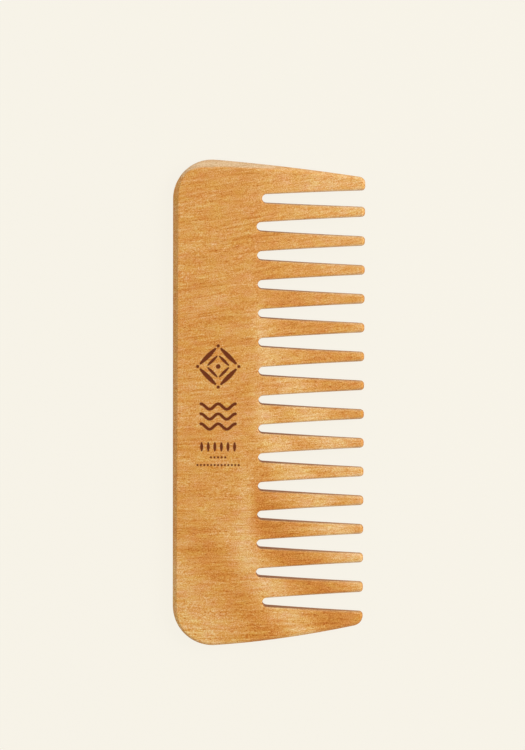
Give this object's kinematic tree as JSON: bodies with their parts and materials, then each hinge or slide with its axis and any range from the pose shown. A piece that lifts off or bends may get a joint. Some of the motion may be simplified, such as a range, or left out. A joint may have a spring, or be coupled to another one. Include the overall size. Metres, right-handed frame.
{
  "type": "hair comb",
  "caption": "Wide-tooth wooden hair comb: a flat board with a solid back along one long side and tapered, round-tipped teeth along the other.",
  "frame": {"origin": "middle of the comb's footprint, on the surface that it lies on", "axes": "+X from the spine to the tooth tips, +Y along the comb's length, +Z out of the front face"},
  "size_m": [0.067, 0.17, 0.008],
  "materials": {
    "wood": "satin oiled hardwood, grain across the comb's length along the teeth, burnt ornament on one face"
  },
  "bodies": {
    "root": {"comb": "wood"}
  },
  "joints": []
}
